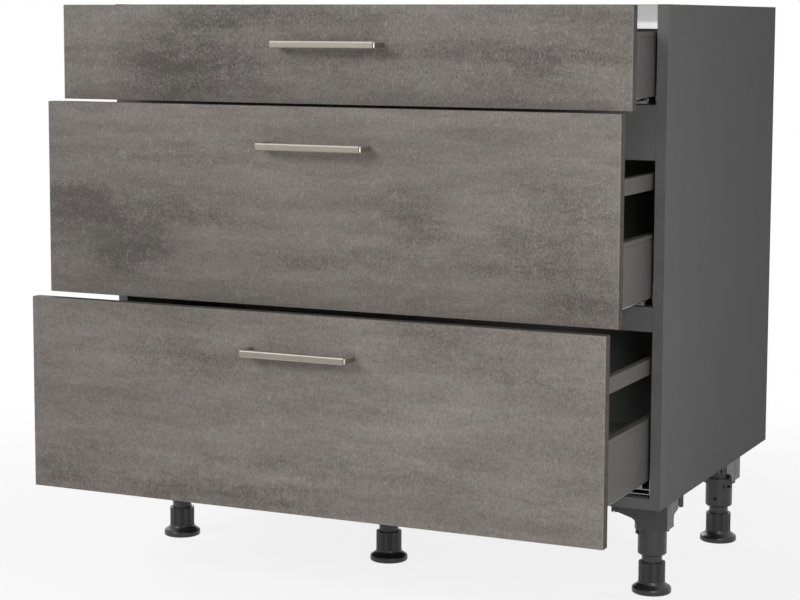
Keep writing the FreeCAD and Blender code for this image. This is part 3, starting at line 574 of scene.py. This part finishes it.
def bow_mesh(name, low, high):
    """Flat bar bent to a bow in one piece, with its outer long edges chamfered, in the given box."""
    half = (high.x - low.x) / 2
    middle_x, middle_z = (high.x + low.x) / 2, (high.z + low.z) / 2
    out = high.y - low.y
    rise = (high.z - low.z) / 2
    cut = HANDLE_CHAMFER
    outer = bow_path(half, out, HANDLE_OUTER_ROUND)
    edge = bow_path(half - cut, out - cut, HANDLE_OUTER_ROUND - cut)
    inner = bow_path(half - HANDLE_LEG_WIDTH, out - HANDLE_BAR_DEPTH, HANDLE_INNER_ROUND)
    rails = ((outer, rise - cut), (edge, rise), (inner, rise),
             (inner, -rise), (edge, -rise), (outer, cut - rise))

    shape = bmesh.new()
    rings = []
    for spot in range(len(outer)):
        ring = [shape.verts.new((middle_x + path[spot][0], high.y - path[spot][1], middle_z + height))
                for path, height in rails]
        rings.append(ring)
    for ring, after in zip(rings, rings[1:]):
        for side in range(len(rails)):
            other = (side + 1) % len(rails)
            shape.faces.new((ring[side], ring[other], after[other], after[side]))
    shape.faces.new(rings[0])
    shape.faces.new(list(reversed(rings[-1])))
    bmesh.ops.recalc_face_normals(shape, faces=shape.faces)
    for face in shape.faces:
        face.smooth = True
    mesh = bpy.data.meshes.new(name)
    shape.to_mesh(mesh)
    shape.free()
    return mesh


def bow_handle(number):
    """The handle of one drawer, in the box of the frame's own handle."""
    low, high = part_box("handle_%d" % number)
    mesh = bow_mesh("bow_handle_%d" % number, low, high)
    mesh.materials.append(FINISHES["satin_nickel"])
    piece = bpy.data.objects.new("bow_handle_%d" % number, mesh)
    bpy.context.scene.collection.objects.link(piece)
    soften(piece, HANDLE_SOFTNESS, HANDLE_EDGE_ANGLE)
    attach(piece, "drawer_%d" % number)
    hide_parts("handle_%d" % number)


for number in DRAWERS:
    bow_handle(number)


# ---- floor, light and camera ----
def floor_material():
    """Pale floor that keeps the cabinet's shadow, and goes over into the white background."""
    recipe = Recipe("studio_floor")
    recipe.set(Base_Color=linear(*FLOOR_SHADE), Roughness=0.9, Specular_IOR_Level=0.0)
    glow = recipe.node("ShaderNodeEmission", WHITE, 1.0)
    share = recipe.span(recipe.vector("LENGTH", recipe.place), FLOOR_FADE, FLOOR_GLOW)
    share = recipe.product(recipe.seen_rays(), share)
    surface = recipe.mix_shader(share, recipe.shader.outputs[0], glow.outputs[0])
    recipe.feed(recipe.output.inputs[0], surface)
    return recipe.material


def studio_floor():
    reach = FLOOR_REACH
    corners = [(-reach, -reach, 0), (reach, -reach, 0), (reach, reach, 0), (-reach, reach, 0)]
    mesh = bpy.data.meshes.new("studio_floor")
    mesh.from_pydata(corners, [], [(0, 1, 2, 3)])
    mesh.materials.append(floor_material())
    floor = bpy.data.objects.new("studio_floor", mesh)
    bpy.context.scene.collection.objects.link(floor)


def studio_world():
    """A world that is white where it is seen and lights the object weakly."""
    world = bpy.data.worlds.new("studio")
    bpy.context.scene.world = world
    world.use_nodes = True
    tree = Nodes(world.node_tree)
    back = next(node for node in world.node_tree.nodes if node.type == "BACKGROUND")
    output = next(node for node in world.node_tree.nodes if node.type == "OUTPUT_WORLD")
    back.inputs["Color"].default_value = WHITE
    back.inputs["Strength"].default_value = AMBIENT
    white = tree.node("ShaderNodeBackground", WHITE, 1.0)
    tree.feed(output.inputs[0], tree.mix_shader(tree.seen_rays(), back.outputs[0], white.outputs[0]))


def soft_box(name, place, target, width, height, watts):
    """A broad lamp that points at its target and isn't seen by the camera."""
    lamp = bpy.data.lights.new(name, "AREA")
    lamp.shape = "RECTANGLE"
    lamp.size = width
    lamp.size_y = height
    lamp.energy = watts
    box = bpy.data.objects.new(name, lamp)
    box.location = place
    box.rotation_euler = (Vector(target) - Vector(place)).to_track_quat("-Z", "Y").to_euler()
    box.visible_camera = False
    bpy.context.scene.collection.objects.link(box)


def studio_lamps():
    soft_box("key", place=(-1.5, -3.2, 2.1), target=(0, -0.3, 0.45), width=2.2, height=1.4, watts=74)
    soft_box("right_lamp", place=(1.4, -2.0, 1.0), target=(0.3, -0.3, 0.5), width=0.5, height=0.5, watts=5)
    soft_box("right_fill", place=(1.22, -1.35, 0.6), target=(0.45, -0.35, 0.45), width=0.5, height=0.7,
             watts=7.5)
    soft_box("top_fill", place=(0.2, -0.6, 3.4), target=(0, 0, 0.5), width=2.4, height=2.4, watts=10)
    soft_box("rear_fill", place=(-2.4, 2.6, 2.2), target=(0, 0.2, 0.45), width=2.4, height=2.0, watts=50)


def photo_camera():
    """The camera at the photo's place and angle."""
    lens = bpy.data.cameras.new("photo_camera")
    lens.lens = CAMERA_LENS
    lens.sensor_width = CAMERA_SENSOR
    lens.shift_y = CAMERA_SHIFT_UP
    lens.clip_end = CAMERA_REACH
    camera = bpy.data.objects.new("photo_camera", lens)
    camera.location = CAMERA_PLACE
    aim = Euler((math.radians(90 - CAMERA_TILT), 0, math.radians(CAMERA_TURN))).to_quaternion()
    camera.rotation_mode = "QUATERNION"
    camera.rotation_quaternion = aim @ Quaternion((0, 0, 1), math.radians(CAMERA_ROLL))
    bpy.context.scene.collection.objects.link(camera)
    bpy.context.scene.camera = camera


studio_floor()
studio_world()
studio_lamps()
photo_camera()
bpy.context.scene.view_settings.view_transform = "Standard"
